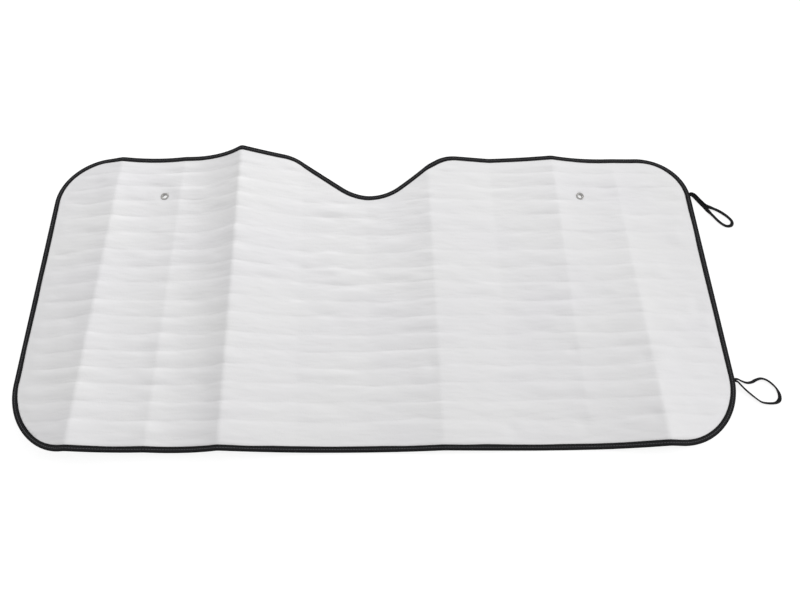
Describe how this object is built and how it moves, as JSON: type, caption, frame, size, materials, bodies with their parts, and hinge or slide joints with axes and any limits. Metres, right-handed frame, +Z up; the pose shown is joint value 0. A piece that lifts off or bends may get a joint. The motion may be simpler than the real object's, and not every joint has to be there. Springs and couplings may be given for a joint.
{
  "type": "folding windscreen sunshade",
  "caption": "Folding windscreen sunshade opened out on the floor: creased silver-film foam sheet with a mirror notch, black bound edge, suction-cup eyelets and elastic closing loops.",
  "frame": {"origin": "on the floor, under the middle of the opened sheet's plan box", "axes": "+X along the width towards the elastic loops, +Y towards the edge with the mirror notch, +Z up from the floor"},
  "size_m": [1.3588, 0.6, 0.0664],
  "materials": {
    "silver_film_foam": "satin silver-white film on closed-cell polyethylene foam",
    "black_tape": "woven polyester binding tape, stitched",
    "plated_steel": "nickel plated",
    "black_elastic": "braided elastic"
  },
  "bodies": {
    "root": {"foam_sheet": "silver_film_foam", "edge_binding": "black_tape", "left_eyelet": "plated_steel", "left_eyelet_washer": "plated_steel", "right_eyelet": "plated_steel", "right_eyelet_washer": "plated_steel", "upper_elastic_loop": "black_elastic", "lower_elastic_loop": "black_elastic"}
  },
  "joints": []
}
